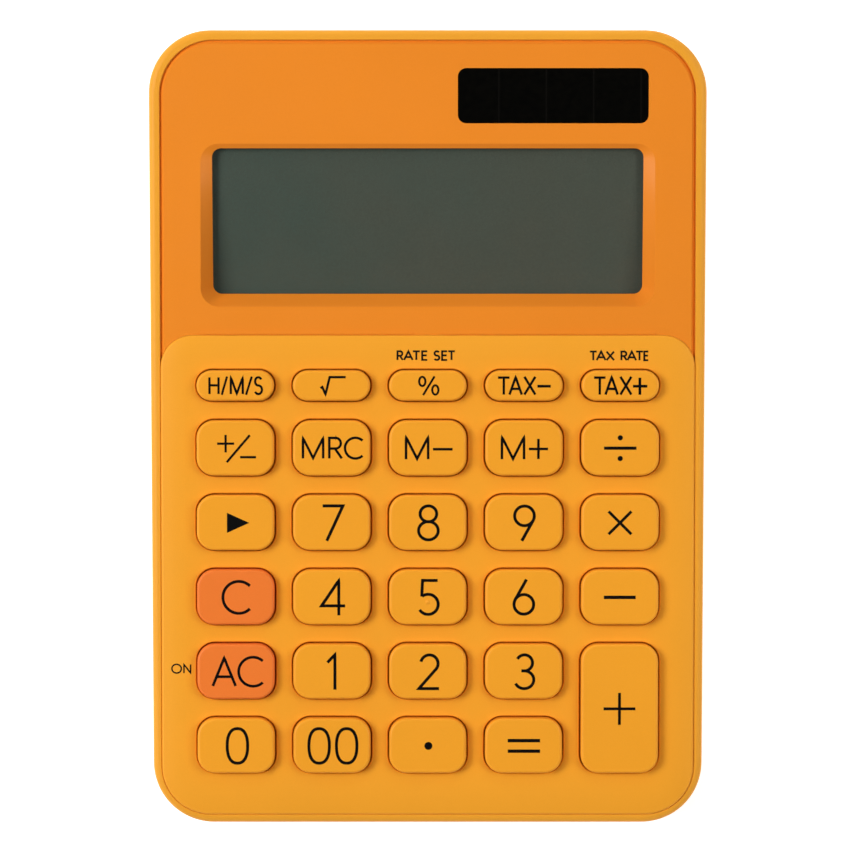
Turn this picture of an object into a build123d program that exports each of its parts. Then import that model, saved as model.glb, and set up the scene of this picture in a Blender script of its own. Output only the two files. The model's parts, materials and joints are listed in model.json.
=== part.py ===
from build123d import *

import os
from math import cos, radians, sin, tan

# Desk calculator with a wedge-shaped case, a tilted display and twenty-nine keys.
# +Z is up, +X is to the right and +Y runs from the user towards the display.
# The origin lies on the table, under the middle of the case. Lengths are in millimetres.

# ---------------------------------------------------------------- driving dimensions
WIDTH_BACK = 105.0          # case width behind the display
WIDTH_FRONT = 104.0         # the case narrows slightly towards the user
LENGTH = 149.25
HEIGHT = 22.8               # table to the top of the back rim
TILT = radians(5.0)         # slope of the front face
CORNER_BACK = 11.6
CORNER_FRONT = 11.4
WALL = 1.8
FLOOR_BOTTOM = 0.8          # the rubber feet hold the floor this far off the table
FLOOR_TOP = 2.6
RIM_ROUND = 1.2             # rounding of the rim's outer edge
FLOOR_ROUND = 2.2           # rounding round the underside

# The front face is a tilted plane. Its own axes are u (right), v (up the slope) and
# w (out of the face). Every part seen from the front is placed by its v and w.
RIM_CENTRE_Y = LENGTH / 2 - RIM_ROUND
FACE_HEIGHT = HEIGHT - RIM_CENTRE_Y * tan(TILT) + RIM_ROUND * (1 / cos(TILT) - 1)
FACE = Plane(origin=(0, 0, FACE_HEIGHT), x_dir=(1, 0, 0), z_dir=(0, -sin(TILT), cos(TILT)))
FACE_NORMAL = Axis((0, 0, 0), (0, -sin(TILT), cos(TILT)))

# Levels along w
SLAB_TOP = 0.8              # crown of the raised keypad slab
KEY_TOP = 2.5
SHELF_TOP = -1.4            # shelf that carries the slab and the display panel
SHELF_BOTTOM = -2.6
PARTING = -5.5              # where front case and rear case meet
MAT_TOP = -4.5
BOARD_TOP = -5.1
BOARD_BOTTOM = -6.3

# Outlines on the face
RECESS_HALF_U = 50.4        # well inside the rim
RECESS_V = (-73.4, 72.9)
RECESS_ROUND_BACK = 10.1
RECESS_ROUND_FRONT = 9.25
RIM_CHAMFER = 0.12          # broken edge round the well's mouth
FIT = 0.03                  # clearance of the parts that are dropped into the well
GROOVE = 0.3                # width of the line between rim and display panel
GROOVE_DEPTH = 0.6          # and its depth below the face
SLAB_V_TOP = 17.55
SLAB_ROUND_BACK = 6.0

# Keys
COLUMN_PITCH = 18.1
ROW_PITCH = 14.075
HOLE_U = 15.1               # size of a normal key's hole
HOLE_V = 10.95
HOLE_ROUND = 3.6
SMALL_HOLE_V = 6.25         # the top row's holes are pills
KEY_GAP = 0.26              # clearance round each key
KEY_EDGE = 0.55             # rounding round a key's top
FLANGE = 0.8                # flange that holds a key under the slab
FLANGE_TOP = SHELF_TOP - 0.06
KEY_BOTTOM = -2.2
KEY_WALL = 1.1
ROW_SIX_V = -59.95          # middle of the lowest row
ROW_V = [ROW_SIX_V + ROW_PITCH * step for step in (5, 4, 3, 2, 1, 0)]
ROW_V[0] = 8.1              # the pill row stands a little further off

# Display
BEVEL_HALF_U = 42.75        # mouth of the funnel round the display
BEVEL_V = (22.9, 53.5)
BEVEL_ROUND = 3.4
WINDOW_HALF_U = 40.6        # clear opening at the bottom of the funnel
WINDOW_V = (25.3, 52.65)
WINDOW_ROUND = 1.7
WINDOW_TILT = radians(6.0)  # the display leans further than the face
WINDOW_DEPTH = 2.1          # depth of the window's middle below the face
LENS = 0.8
LENS_HALF = (41.5, 14.4)
GLASS_HALF = (42.3, 14.7)
GLASS_Q = (-2.9, -1.3)      # display glass, measured from the lens's top
HOLDER_HALF = (44.0, 16.0)
HOLDER_Q = (-4.2, -0.85)

# Solar window
SOLAR_U = (5.65, 41.5)
SOLAR_V = (57.3, 67.65)
SOLAR_ROUND = 1.6

# Inside
BOARD_HALF_U = 46.0
BOARD_V = (-66.4, 13.0)
BOARD_SCREW_U = COLUMN_PITCH * 1.5
BOARD_SCREW_V = ((ROW_V[1] + ROW_V[2]) / 2, (ROW_V[3] + ROW_V[4]) / 2)
CASE_SCREWS = [(38.0, -69.4), (46.2, 17.8), (45.0, 66.0)]
SCREW_SHANK = 1.25
BOSS = 2.7
DOME_FOOT = 3.5
DOME_CROWN = 1.8
DOME_SKIN = 0.5


# ---------------------------------------------------------------- shared helpers
def rounded(u_low, u_high, v_low, v_high, radius):
    """A rounded rectangle from its edges on the face."""
    with BuildSketch(mode=Mode.PRIVATE) as shape:
        with Locations(((u_low + u_high) / 2, (v_low + v_high) / 2)):
            RectangleRounded(u_high - u_low, v_high - v_low, radius)
    return shape.sketch


def case_outline(inset):
    """Plan of the case on the table plane, drawn `inset` inside the outer wall."""
    back, front, half = WIDTH_BACK / 2, WIDTH_FRONT / 2, LENGTH / 2
    with BuildSketch(mode=Mode.PRIVATE) as plan:
        with BuildLine():
            Polyline((-back, half), (back, half), (front, -half), (-front, -half), close=True)
        make_face()
        fillet(plan.vertices().group_by(Axis.Y)[-1], CORNER_BACK)
        fillet(plan.vertices().group_by(Axis.Y)[0], CORNER_FRONT)
        if inset:
            offset(amount=-inset, mode=Mode.REPLACE)
    return plan.sketch


def well_outline(inset, v_top, round_top):
    """The well inside the rim, or the slab in it: smaller corners at the back."""
    half = RECESS_HALF_U - inset
    with BuildSketch(mode=Mode.PRIVATE) as well:
        v_low = RECESS_V[0] + inset
        with Locations((0, (v_low + v_top) / 2)):
            Rectangle(2 * half, v_top - v_low)
        fillet(well.vertices().group_by(Axis.Y)[-1], round_top)
        fillet(well.vertices().group_by(Axis.Y)[0], RECESS_ROUND_FRONT - inset)
    return well.sketch


def face_height(v, w):
    """Height above the table of a point on the face's middle line."""
    return FACE_HEIGHT + v * sin(TILT) + w * cos(TILT)


def face_depth(v, w):
    """Distance along +Y of a point on the face's middle line."""
    return v * cos(TILT) - w * sin(TILT)


# The display's own plane, inside the face
WINDOW_MIDDLE_V = (WINDOW_V[0] + WINDOW_V[1]) / 2
LENS_PLANE = Plane(
    origin=(0, face_depth(WINDOW_MIDDLE_V, -WINDOW_DEPTH), face_height(WINDOW_MIDDLE_V, -WINDOW_DEPTH)),
    x_dir=(1, 0, 0),
    z_dir=(0, -sin(TILT + WINDOW_TILT), cos(TILT + WINDOW_TILT)),
)
WINDOW_HALF_S = (WINDOW_V[1] - WINDOW_V[0]) / 2 / cos(WINDOW_TILT)

# Every key: name, column, row, and how many rows it spans
KEYS = [
    ("hms", 0, 0, 1), ("square_root", 1, 0, 1), ("percent", 2, 0, 1),
    ("tax_minus", 3, 0, 1), ("tax_plus", 4, 0, 1),
    ("sign_change", 0, 1, 1), ("mrc", 1, 1, 1), ("memory_minus", 2, 1, 1),
    ("memory_plus", 3, 1, 1), ("divide", 4, 1, 1),
    ("backspace", 0, 2, 1), ("7", 1, 2, 1), ("8", 2, 2, 1), ("9", 3, 2, 1), ("multiply", 4, 2, 1),
    ("clear", 0, 3, 1), ("4", 1, 3, 1), ("5", 2, 3, 1), ("6", 3, 3, 1), ("minus", 4, 3, 1),
    ("all_clear", 0, 4, 1), ("1", 1, 4, 1), ("2", 2, 4, 1), ("3", 3, 4, 1), ("plus", 4, 4, 2),
    ("0", 0, 5, 1), ("00", 1, 5, 1), ("point", 2, 5, 1), ("equals", 3, 5, 1),
]


def key_place(column, row, span):
    """Middle of a key's hole, and the hole's height and corner radius."""
    u = (column - 2) * COLUMN_PITCH
    if row == 0:
        return u, ROW_V[0], SMALL_HOLE_V, SMALL_HOLE_V / 2 - 0.02
    v = (ROW_V[row] + ROW_V[row + span - 1]) / 2
    return u, v, HOLE_V + (span - 1) * ROW_PITCH, HOLE_ROUND


def key_shape(column, row, span, grow):
    """Outline of a key's hole, made larger by `grow`, or smaller where it is negative."""
    u, v, height, radius = key_place(column, row, span)
    half_u, half_v = HOLE_U / 2 + grow, height / 2 + grow
    return rounded(u - half_u, u + half_u, v - half_v, v + half_v, radius + grow)


# ---------------------------------------------------------------- front case
# A rim with a sunk well. The well's floor is a shelf with openings for the keys, the
# display and the solar cell.
SHELF_OPENINGS = [
    (-46.4, 46.4, -66.6, 14.2, 3.0),
    (-HOLDER_HALF[0] - 0.4, HOLDER_HALF[0] + 0.4, 21.9, 55.6, 1.5),
    (SOLAR_U[0] - 0.9, SOLAR_U[1] + 0.9, SOLAR_V[0] - 0.9, SOLAR_V[1] + 0.9, 1.0),
]
LIP_HEIGHT = 1.0
LIP_INSET = 0.95

with BuildPart() as front_hollow:
    with BuildSketch(Plane.XY):
        add(case_outline(WALL))
    extrude(amount=HEIGHT)
    split(bisect_by=FACE.offset(SHELF_BOTTOM), keep=Keep.BOTTOM)

with BuildPart() as front_rabbet:
    with BuildSketch(Plane.XY):
        add(case_outline(LIP_INSET))
    extrude(amount=HEIGHT)
    split(bisect_by=FACE.offset(PARTING + LIP_HEIGHT + 0.1), keep=Keep.BOTTOM)

with BuildPart() as front_bosses:
    with BuildSketch(Plane.XY):
        for boss_u, boss_v in CASE_SCREWS:
            with Locations((boss_u, boss_v), (-boss_u, boss_v)):
                Circle(BOSS)
                Circle(SCREW_SHANK + 0.05, mode=Mode.SUBTRACT)
    extrude(amount=HEIGHT)
    split(bisect_by=FACE.offset(SHELF_BOTTOM), keep=Keep.BOTTOM)

with BuildPart() as front_case:
    with BuildSketch(Plane.XY):
        add(case_outline(0))
    extrude(amount=2 * HEIGHT)
    split(bisect_by=FACE, keep=Keep.BOTTOM)
    rim_top = front_case.faces().sort_by(FACE_NORMAL)[-1]
    fillet(rim_top.edges(), radius=RIM_ROUND)
    with BuildSketch(FACE):
        add(well_outline(0, RECESS_V[1], RECESS_ROUND_BACK))
    extrude(amount=SHELF_TOP, mode=Mode.SUBTRACT)
    with BuildSketch(FACE):
        add(well_outline(-RIM_CHAMFER, RECESS_V[1] + RIM_CHAMFER, RECESS_ROUND_BACK + RIM_CHAMFER))
    extrude(amount=-RIM_CHAMFER, taper=45, mode=Mode.SUBTRACT)
    add(front_hollow.part, mode=Mode.SUBTRACT)
    add(front_rabbet.part, mode=Mode.SUBTRACT)
    with BuildSketch(FACE):
        for opening in SHELF_OPENINGS:
            add(rounded(*opening))
    extrude(amount=2 * SHELF_BOTTOM, mode=Mode.SUBTRACT)
    add(front_bosses.part)
    split(bisect_by=FACE.offset(PARTING), keep=Keep.TOP)
front_case.part.label = "front_case"

# ---------------------------------------------------------------- rear case
# The wedge under the parting line: a floor, four walls, a lip that fits inside the
# front case, and a tall screw boss under each of the front case's bosses.
HEAD_CEILING = 2.0          # plastic between a screw's head and the parting line
HEAD_RECESS = 2.5
FEET = [(28.0, -66.0), (34.0, 62.0)]
FOOT_RADIUS = 4.5
FOOT_RECESS = 0.6
LABEL_HALF = (26.0, 13.0)
LABEL_Y = 12.0
LABEL_RECESS = 0.25


def screw_ceiling(y):
    """Height at which the parting plane passes over y."""
    return FACE_HEIGHT + y * tan(TILT) + PARTING / cos(TILT)


with BuildPart() as rear_hollow:
    with BuildSketch(Plane.XY.offset(FLOOR_TOP)):
        add(case_outline(WALL))
    extrude(amount=HEIGHT)

with BuildPart() as rear_lip:
    with BuildSketch(Plane.XY.offset(FLOOR_TOP)):
        add(case_outline(LIP_INSET + 0.1))
        add(case_outline(WALL), mode=Mode.SUBTRACT)
    extrude(amount=HEIGHT)
    split(bisect_by=FACE.offset(PARTING + LIP_HEIGHT), keep=Keep.BOTTOM)

with BuildPart() as rear_bosses:
    with BuildSketch(Plane.XY.offset(FLOOR_TOP - 0.5)):
        for boss_u, boss_v in CASE_SCREWS:
            with Locations((boss_u, boss_v), (-boss_u, boss_v)):
                Circle(BOSS + 0.6)
    extrude(amount=HEIGHT)
    split(bisect_by=FACE.offset(PARTING), keep=Keep.BOTTOM)

with BuildPart() as rear_case:
    with BuildSketch(Plane.XY.offset(FLOOR_BOTTOM)):
        add(case_outline(0))
    extrude(amount=HEIGHT)
    fillet(rear_case.faces().sort_by(Axis.Z)[0].edges(), radius=FLOOR_ROUND)
    split(bisect_by=FACE.offset(PARTING), keep=Keep.BOTTOM)
    add(rear_hollow.part, mode=Mode.SUBTRACT)
    add(rear_lip.part)
    add(rear_bosses.part)
    for boss_u, boss_v in CASE_SCREWS:
        with Locations((boss_u, boss_v, 0), (-boss_u, boss_v, 0)):
            Cylinder(SCREW_SHANK + 0.15, HEIGHT, align=(Align.CENTER, Align.CENTER, Align.MIN),
                     mode=Mode.SUBTRACT)
            Cylinder(HEAD_RECESS, screw_ceiling(boss_v) - HEAD_CEILING,
                     align=(Align.CENTER, Align.CENTER, Align.MIN), mode=Mode.SUBTRACT)
    with BuildSketch(Plane.XY.offset(FLOOR_BOTTOM)):
        for foot_x, foot_y in FEET:
            with Locations((foot_x, foot_y), (-foot_x, foot_y)):
                Circle(FOOT_RADIUS + 0.1)
    extrude(amount=FOOT_RECESS, mode=Mode.SUBTRACT)
    with BuildSketch(Plane.XY.offset(FLOOR_BOTTOM)):
        with Locations((0, LABEL_Y)):
            RectangleRounded(2 * LABEL_HALF[0] + 0.3, 2 * LABEL_HALF[1] + 0.3, 1.6)
    extrude(amount=LABEL_RECESS, mode=Mode.SUBTRACT)
rear_case.part.label = "rear_case"

# ---------------------------------------------------------------- feet and rating label
with BuildPart() as rubber_feet:
    with BuildSketch(Plane.XY):
        for foot_x, foot_y in FEET:
            with Locations((foot_x, foot_y), (-foot_x, foot_y)):
                Circle(FOOT_RADIUS)
    extrude(amount=FLOOR_BOTTOM + FOOT_RECESS)
    fillet(rubber_feet.edges().group_by(Axis.Z)[0], radius=0.4)
rubber_feet.part.label = "rubber_feet"

with BuildPart() as rating_label:
    with BuildSketch(Plane.XY.offset(FLOOR_BOTTOM + 0.1)):
        with Locations((0, LABEL_Y)):
            RectangleRounded(2 * LABEL_HALF[0], 2 * LABEL_HALF[1], 1.5)
    extrude(amount=LABEL_RECESS - 0.1)
rating_label.part.label = "rating_label"

# ---------------------------------------------------------------- case screws
HEAD_HEIGHT = 1.5
HEAD_RADIUS = 2.3
SCREW_BITE = 2.4            # length of shank inside the front case's boss


def cross_slot(half_length, half_width):
    """Plan of a cross recess in a screw's head."""
    with BuildSketch(mode=Mode.PRIVATE) as cross:
        Rectangle(2 * half_length, 2 * half_width)
        Rectangle(2 * half_width, 2 * half_length)
    return cross.sketch


with BuildPart() as case_screws:
    for boss_u, boss_v in CASE_SCREWS:
        seat = screw_ceiling(boss_v) - HEAD_CEILING
        with Locations((boss_u, boss_v, seat), (-boss_u, boss_v, seat)):
            Cylinder(SCREW_SHANK, HEAD_CEILING + SCREW_BITE, align=(Align.CENTER, Align.CENTER, Align.MIN))
        with Locations((boss_u, boss_v, seat), (-boss_u, boss_v, seat)):
            Cylinder(HEAD_RADIUS, HEAD_HEIGHT, align=(Align.CENTER, Align.CENTER, Align.MAX))
    head_rims = case_screws.edges().filter_by(GeomType.CIRCLE)
    head_rims = [edge for edge in head_rims if edge.radius > HEAD_RADIUS - 0.01]
    lower_rims = [
        edge for edge in head_rims
        if abs(edge.center().Z - screw_ceiling(edge.center().Y) + HEAD_CEILING + HEAD_HEIGHT) < 0.01
    ]
    fillet(lower_rims, radius=0.6)
    for boss_u, boss_v in CASE_SCREWS:
        under = screw_ceiling(boss_v) - HEAD_CEILING - HEAD_HEIGHT
        with BuildSketch(Plane.XY.offset(under)):
            with Locations((boss_u, boss_v), (-boss_u, boss_v)):
                add(cross_slot(1.25, 0.3))
        extrude(amount=0.9, mode=Mode.SUBTRACT)
case_screws.part.label = "case_screws"

# ---------------------------------------------------------------- keypad slab
# The raised slab that frames the keys. Its top rolls off gently along every edge, and
# turns down more tightly where it meets the rim.
ROLL_WIDTH = 4.6
ROLL_DROP = 0.5
ROLL_RADIUS = (ROLL_WIDTH ** 2 + ROLL_DROP ** 2) / (2 * ROLL_DROP)
EDGE_WIDTH = 0.55
EDGE_DROP = 0.55
CUTTER = 1.0                # how far the roll-off's cutter stands out of the slab
HOLE_CHAMFER = 0.14
BOARD_BOSS = 1.9
slab_outline = well_outline(FIT, SLAB_V_TOP, SLAB_ROUND_BACK)
SLAB_HALF_U = RECESS_HALF_U - FIT
SLAB_V_LOW = RECESS_V[0] + FIT


def roll_drop(inward):
    """Depth of the gentle roll-off, `inward` from the slab's edge."""
    return ROLL_RADIUS - (ROLL_RADIUS ** 2 - (ROLL_WIDTH - inward) ** 2) ** 0.5


def roll_section(u, v, inward):
    """Section that the roll-off removes, at a point of the slab's edge."""
    crown = Plane(origin=FACE.offset(SLAB_TOP).from_local_coords((u, v, 0)), x_dir=inward,
                  z_dir=inward.cross(FACE.z_dir))
    shoulder = roll_drop(EDGE_WIDTH)
    with BuildSketch(crown, mode=Mode.PRIVATE) as section:
        with BuildLine():
            Line((-CUTTER, -shoulder - EDGE_DROP), (0, -shoulder - EDGE_DROP))
            RadiusArc((0, -shoulder - EDGE_DROP), (EDGE_WIDTH, -shoulder), EDGE_WIDTH)
            RadiusArc((EDGE_WIDTH, -shoulder), (ROLL_WIDTH, 0), ROLL_RADIUS)
            Line((ROLL_WIDTH, 0), (ROLL_WIDTH, CUTTER))
            Line((ROLL_WIDTH, CUTTER), (-CUTTER, CUTTER))
            Line((-CUTTER, CUTTER), (-CUTTER, -shoulder - EDGE_DROP))
        make_face()
    return section.sketch


with BuildPart() as slab_roll:
    ends = ((-1, SLAB_V_LOW, RECESS_ROUND_FRONT - FIT), (1, SLAB_V_TOP, SLAB_ROUND_BACK))
    run = (SLAB_V_LOW + RECESS_ROUND_FRONT - FIT, SLAB_V_TOP - SLAB_ROUND_BACK)
    for hand in (-1, 1):
        long_side = roll_section(hand * SLAB_HALF_U, sum(run) / 2, FACE.x_dir * -hand)
        extrude(long_side, amount=(run[1] - run[0]) / 2, dir=FACE.y_dir, both=True)
    for side, edge_v, corner in ends:
        short_side = roll_section(0, edge_v, FACE.y_dir * -side)
        extrude(short_side, amount=SLAB_HALF_U - corner, dir=FACE.x_dir, both=True)
        for hand in (-1, 1):
            middle = FACE.from_local_coords((hand * (SLAB_HALF_U - corner), edge_v - side * corner, 0))
            start = roll_section(hand * SLAB_HALF_U, edge_v - side * corner, FACE.x_dir * -hand)
            revolve(start, axis=Axis(middle, FACE.z_dir * (hand * side)), revolution_arc=90)

with BuildPart() as keypad_plate:
    with BuildSketch(FACE.offset(SHELF_TOP)):
        add(slab_outline)
    extrude(amount=SLAB_TOP - SHELF_TOP)
    add(slab_roll.part, mode=Mode.SUBTRACT)
    with BuildSketch(FACE.offset(SHELF_TOP)):
        for key_name, column, row, span in KEYS:
            add(key_shape(column, row, span, 0))
    extrude(amount=2 * SLAB_TOP - SHELF_TOP, mode=Mode.SUBTRACT)
    with BuildSketch(FACE.offset(SLAB_TOP)):
        for key_name, column, row, span in KEYS:
            add(key_shape(column, row, span, HOLE_CHAMFER))
    extrude(amount=-HOLE_CHAMFER, taper=45, mode=Mode.SUBTRACT)
    with BuildSketch(FACE.offset(BOARD_TOP)):
        for screw_v in BOARD_SCREW_V:
            with Locations((BOARD_SCREW_U, screw_v), (-BOARD_SCREW_U, screw_v)):
                Circle(BOARD_BOSS)
                Circle(0.85, mode=Mode.SUBTRACT)
    extrude(amount=SHELF_TOP - BOARD_TOP)
keypad_plate.part.label = "keypad_plate"

# ---------------------------------------------------------------- display panel
# The darker plate behind the slab, with a funnel down to the leaning display.
PANEL_CHAMFER = 0.45
STRIP_U = (2.85, 42.85)     # two low ledges along the slab's top edge
STRIP_WIDTH = 0.5
STRIP_HEIGHT = 0.18
CORNER_FILL = 4.0           # the panel fills the slab's rounded back corners down to here
WELL_WALL = 2.2
panel_foot = well_outline(FIT, RECESS_V[1] - FIT, RECESS_ROUND_BACK - FIT)
panel_outline = well_outline(GROOVE, RECESS_V[1] - GROOVE, RECESS_ROUND_BACK - GROOVE)
slab_shadow = well_outline(0, SLAB_V_TOP + FIT, SLAB_ROUND_BACK + FIT)

with BuildPart() as window_well:
    with BuildSketch(FACE):
        with Locations((0, WINDOW_MIDDLE_V)):
            Rectangle(2 * (BEVEL_HALF_U + 0.9), WINDOW_V[1] - WINDOW_V[0] + 2 * WELL_WALL)
    extrude(amount=-8)
    split(bisect_by=LENS_PLANE.offset(-LENS), keep=Keep.TOP)

with BuildPart() as window_funnel:
    with BuildSketch(FACE):
        add(rounded(-BEVEL_HALF_U, BEVEL_HALF_U, *BEVEL_V, BEVEL_ROUND))
    with BuildSketch(LENS_PLANE):
        add(rounded(-WINDOW_HALF_U, WINDOW_HALF_U, -WINDOW_HALF_S, WINDOW_HALF_S, WINDOW_ROUND))
    loft()

with BuildPart() as display_panel:
    with BuildSketch(FACE):
        add(panel_outline)
    extrude(amount=SHELF_TOP)
    chamfer(display_panel.faces().sort_by(FACE_NORMAL)[-1].edges(), PANEL_CHAMFER)
    with BuildSketch(FACE.offset(SHELF_TOP)):
        add(panel_foot)
    extrude(amount=-SHELF_TOP - GROOVE_DEPTH)
    with BuildSketch(FACE.offset(SHELF_TOP)):
        with Locations((0, SLAB_V_TOP - CORNER_FILL)):
            Rectangle(2 * RECESS_HALF_U, LENGTH, align=(Align.CENTER, Align.MAX))
        add(slab_shadow)
    extrude(amount=2 * SLAB_TOP - SHELF_TOP, mode=Mode.SUBTRACT)
    with BuildSketch(FACE):
        for side in (-1, 1):
            with Locations((side * (STRIP_U[0] + STRIP_U[1]) / 2, SLAB_V_TOP + 0.4)):
                Rectangle(STRIP_U[1] - STRIP_U[0], STRIP_WIDTH)
    extrude(amount=STRIP_HEIGHT)
    add(window_well.part)
    add(window_funnel.part, mode=Mode.SUBTRACT)
    with BuildSketch(LENS_PLANE):
        Rectangle(2 * LENS_HALF[0] + 0.06, 2 * LENS_HALF[1] + 0.06)
    extrude(amount=-2 * LENS, mode=Mode.SUBTRACT)
    with BuildSketch(LENS_PLANE.offset(-LENS)):
        Rectangle(2 * HOLDER_HALF[0] + 0.6, 2 * HOLDER_HALF[1] + 0.6)
    extrude(amount=-3, mode=Mode.SUBTRACT)
    with BuildSketch(FACE):
        add(rounded(*SOLAR_U, *SOLAR_V, SOLAR_ROUND))
    extrude(amount=2 * SHELF_TOP, mode=Mode.SUBTRACT)
display_panel.part.label = "display_panel"

# ---------------------------------------------------------------- display stack
with BuildPart() as display_window:
    with BuildSketch(LENS_PLANE):
        Rectangle(2 * LENS_HALF[0], 2 * LENS_HALF[1])
    extrude(amount=-LENS)
display_window.part.label = "display_window"

with BuildPart() as lcd_glass:
    with BuildSketch(LENS_PLANE.offset(GLASS_Q[1])):
        Rectangle(2 * GLASS_HALF[0], 2 * GLASS_HALF[1])
    extrude(amount=GLASS_Q[0] - GLASS_Q[1])
lcd_glass.part.label = "lcd_glass"

# A tray round the glass, open along its lower edge where the ribbon leaves
HOLDER_WALL = 1.4
RIBBON_HALF_U = 28.0
with BuildPart() as lcd_holder:
    with BuildSketch(LENS_PLANE.offset(HOLDER_Q[1])):
        RectangleRounded(2 * HOLDER_HALF[0], 2 * HOLDER_HALF[1], 1.2)
    extrude(amount=HOLDER_Q[0] - HOLDER_Q[1])
    with BuildSketch(LENS_PLANE.offset(HOLDER_Q[1])):
        Rectangle(2 * GLASS_HALF[0] + 0.2, 2 * GLASS_HALF[1] + 0.2)
    extrude(amount=GLASS_Q[0] - 0.3 - HOLDER_Q[1], mode=Mode.SUBTRACT)
    with BuildSketch(LENS_PLANE.offset(HOLDER_Q[1] - 1.4)):
        with Locations((0, -HOLDER_HALF[1])):
            Rectangle(2 * RIBBON_HALF_U + 2, 5)
    extrude(amount=HOLDER_Q[0] - HOLDER_Q[1], mode=Mode.SUBTRACT)
lcd_holder.part.label = "lcd_holder"

# A flat flexible ribbon from under the glass to the circuit board
RIBBON = 0.16


def on_lens(s, q):
    """A point of the display's plane, as (v, w) on the face."""
    v = WINDOW_MIDDLE_V + s * cos(WINDOW_TILT) - q * sin(WINDOW_TILT)
    w = -WINDOW_DEPTH + s * sin(WINDOW_TILT) + q * cos(WINDOW_TILT)
    return v, w


ribbon_side = Plane(
    origin=FACE.from_local_coords((-RIBBON_HALF_U, 0, 0)), x_dir=FACE.y_dir, z_dir=(1, 0, 0)
)
RIBBON_ROUTE = [
    on_lens(-GLASS_HALF[1] + 1.6, GLASS_Q[0] - 0.05),
    on_lens(-GLASS_HALF[1] - 0.6, GLASS_Q[0] - 0.05),
    (18.0, BOARD_TOP - 0.3),
    (BOARD_V[1] + 0.4, BOARD_TOP + RIBBON + 0.03),
    (BOARD_V[1] - 2.2, BOARD_TOP + RIBBON + 0.03),
]
with BuildPart() as lcd_ribbon:
    with BuildSketch(ribbon_side):
        with BuildLine():
            upper = Spline(*RIBBON_ROUTE)
            lower = Spline(*[(v, w - RIBBON) for v, w in RIBBON_ROUTE])
            Line(upper @ 0, lower @ 0)
            Line(upper @ 1, lower @ 1)
        make_face()
    extrude(amount=2 * RIBBON_HALF_U)
lcd_ribbon.part.label = "lcd_ribbon"

# ---------------------------------------------------------------- solar cell
SOLAR_WINDOW_W = (-1.35, -0.12)
SOLAR_PLAY = 0.06           # clearance round the solar window
with BuildPart() as solar_window:
    with BuildSketch(FACE.offset(SOLAR_WINDOW_W[0])):
        u_low, u_high = SOLAR_U[0] + SOLAR_PLAY, SOLAR_U[1] - SOLAR_PLAY
        v_low, v_high = SOLAR_V[0] + SOLAR_PLAY, SOLAR_V[1] - SOLAR_PLAY
        add(rounded(u_low, u_high, v_low, v_high, SOLAR_ROUND - SOLAR_PLAY))
    extrude(amount=SOLAR_WINDOW_W[1] - SOLAR_WINDOW_W[0])
    chamfer(solar_window.faces().sort_by(FACE_NORMAL)[-1].edges(), 0.12)
solar_window.part.label = "solar_window"

SOLAR_CELL_W = (-2.5, -1.45)
with BuildPart() as solar_cell:
    with BuildSketch(FACE.offset(SOLAR_CELL_W[0])):
        add(rounded(SOLAR_U[0] - 0.5, SOLAR_U[1] + 0.5, SOLAR_V[0] - 0.5, SOLAR_V[1] + 0.5, 0.3))
    extrude(amount=SOLAR_CELL_W[1] - SOLAR_CELL_W[0])
solar_cell.part.label = "solar_cell"

# ---------------------------------------------------------------- circuit board
with BuildPart() as circuit_board:
    with BuildSketch(FACE.offset(BOARD_BOTTOM)):
        add(rounded(-BOARD_HALF_U, BOARD_HALF_U, *BOARD_V, 1.0))
        for screw_v in BOARD_SCREW_V:
            with Locations((BOARD_SCREW_U, screw_v), (-BOARD_SCREW_U, screw_v)):
                Circle(1.15, mode=Mode.SUBTRACT)
    extrude(amount=BOARD_TOP - BOARD_BOTTOM)
circuit_board.part.label = "circuit_board"

BOARD_HEAD = 1.2
BOARD_HEAD_RADIUS = 1.8
BOARD_SHANK = 4.2
BOARD_SHANK_RADIUS = 0.8
with BuildPart() as board_screws:
    for screw_v in BOARD_SCREW_V:
        with BuildSketch(FACE.offset(BOARD_BOTTOM - BOARD_HEAD)):
            with Locations((BOARD_SCREW_U, screw_v), (-BOARD_SCREW_U, screw_v)):
                Circle(BOARD_HEAD_RADIUS)
        extrude(amount=BOARD_HEAD)
        with BuildSketch(FACE.offset(BOARD_BOTTOM)):
            with Locations((BOARD_SCREW_U, screw_v), (-BOARD_SCREW_U, screw_v)):
                Circle(BOARD_SHANK_RADIUS)
        extrude(amount=BOARD_SHANK)
        with BuildSketch(FACE.offset(BOARD_BOTTOM - BOARD_HEAD)):
            with Locations((BOARD_SCREW_U, screw_v), (-BOARD_SCREW_U, screw_v)):
                add(cross_slot(1.0, 0.22))
        extrude(amount=0.7, mode=Mode.SUBTRACT)
board_screws.part.label = "board_screws"

# ---------------------------------------------------------------- parts under the board
CHIP = (10.0, -4.0)
CHIP_RADIUS = 6.5
CHIP_HEIGHT = 1.6
CHIP_SPHERE = (CHIP_RADIUS ** 2 + CHIP_HEIGHT ** 2) / (2 * CHIP_HEIGHT)
chip_side = Plane(
    origin=FACE.from_local_coords((CHIP[0], CHIP[1], BOARD_BOTTOM)), x_dir=(1, 0, 0), z_dir=-FACE.y_dir
)
with BuildPart() as controller_chip:
    with BuildSketch(chip_side):
        with BuildLine():
            Line((0, 0), (CHIP_RADIUS, 0))
            RadiusArc((CHIP_RADIUS, 0), (0, -CHIP_HEIGHT), CHIP_SPHERE)
            Line((0, -CHIP_HEIGHT), (0, 0))
        make_face()
    revolve(axis=Axis(chip_side.origin, FACE.z_dir))
controller_chip.part.label = "controller_chip"

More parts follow.
